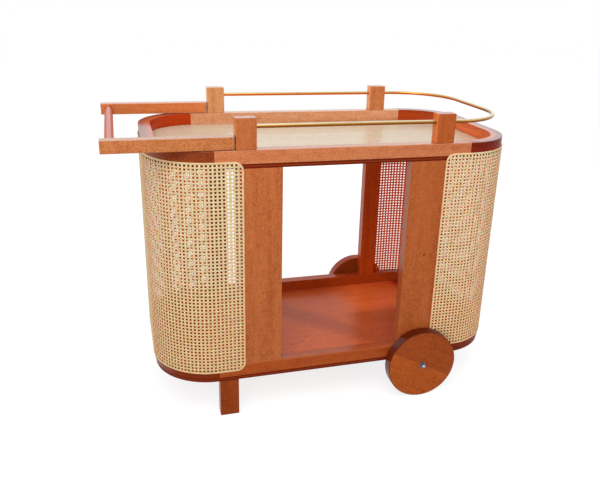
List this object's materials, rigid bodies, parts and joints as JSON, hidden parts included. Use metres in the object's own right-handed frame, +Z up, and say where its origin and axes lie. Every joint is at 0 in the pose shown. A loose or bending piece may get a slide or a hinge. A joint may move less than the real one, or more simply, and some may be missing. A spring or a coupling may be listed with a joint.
{
  "type": "hostess trolley",
  "caption": "Oval wooden serving trolley with an upper tray, a lower shelf, cane-panelled ends, a brass rail, a push handle, legs at one end and disc wheels at the other.",
  "frame": {"origin": "on the floor, under the middle of the whole object's length and width", "axes": "+X runs from the push handle to the wheels, -Y is the side with the wide posts, +Z is up"},
  "size_m": [1.068, 0.6242, 0.795],
  "materials": {
    "lacquered_wood": "orange-brown lacquer over straight grain, satin",
    "dark_lacquered_wood": "red-brown lacquer over grain that follows the curve, satin",
    "pale_veneer": "pale glossy veneer",
    "red_veneer": "red-brown lacquered veneer, satin",
    "cane": "natural woven cane with a plain border",
    "brass": "polished, lacquered",
    "steel": "bright zinc",
    "bush": "natural nylon",
    "dowel_wood": "raw beech"
  },
  "bodies": {
    "trolley": {"arm_dowels": "dowel_wood", "axle": "steel", "axle_beam": "lacquered_wood", "back_dome_nut": "steel", "back_handle_arm": "lacquered_wood", "back_left_block": "lacquered_wood", "back_left_post": "lacquered_wood", "back_leg": "lacquered_wood", "back_right_block": "lacquered_wood", "back_right_post": "lacquered_wood", "back_spacer": "steel", "back_washer": "steel", "beam_screws": "steel", "block_dowels": "dowel_wood", "front_dome_nut": "steel", "front_handle_arm": "lacquered_wood", "front_left_block": "lacquered_wood", "front_left_post": "lacquered_wood", "front_leg": "lacquered_wood", "front_right_block": "lacquered_wood", "front_right_post": "lacquered_wood", "front_spacer": "steel", "front_washer": "steel", "gallery_rail": "brass", "handle_grip": "lacquered_wood", "left_cane_panel": "cane", "leg_dowels": "dowel_wood", "lower_back_rail": "lacquered_wood", "lower_deck": "red_veneer", "lower_deck_screws": "steel", "lower_front_rail": "lacquered_wood", "lower_left_end": "dark_lacquered_wood", "lower_post_dowels": "dowel_wood", "lower_right_end": "dark_lacquered_wood", "lower_seam_dowels": "dowel_wood", "right_cane_panel": "cane", "upper_back_rail": "lacquered_wood", "upper_deck": "pale_veneer", "upper_deck_screws": "steel", "upper_front_rail": "lacquered_wood", "upper_left_end": "dark_lacquered_wood", "upper_post_dowels": "dowel_wood", "upper_right_end": "dark_lacquered_wood", "upper_seam_dowels": "dowel_wood"},
    "front_wheel": {"front_wheel": "lacquered_wood", "front_bush": "bush"},
    "back_wheel": {"back_wheel": "lacquered_wood", "back_bush": "bush"}
  },
  "joints": [
    {"name": "front_wheel_spin", "type": "hinge", "parent": "trolley", "child": "front_wheel", "pos_m": [0.27795, -0.281, 0.1], "axis": [0, 1, 0], "continuous": true},
    {"name": "back_wheel_spin", "type": "hinge", "parent": "trolley", "child": "back_wheel", "pos_m": [0.27795, 0.281, 0.1], "axis": [0, 1, 0], "continuous": true}
  ]
}
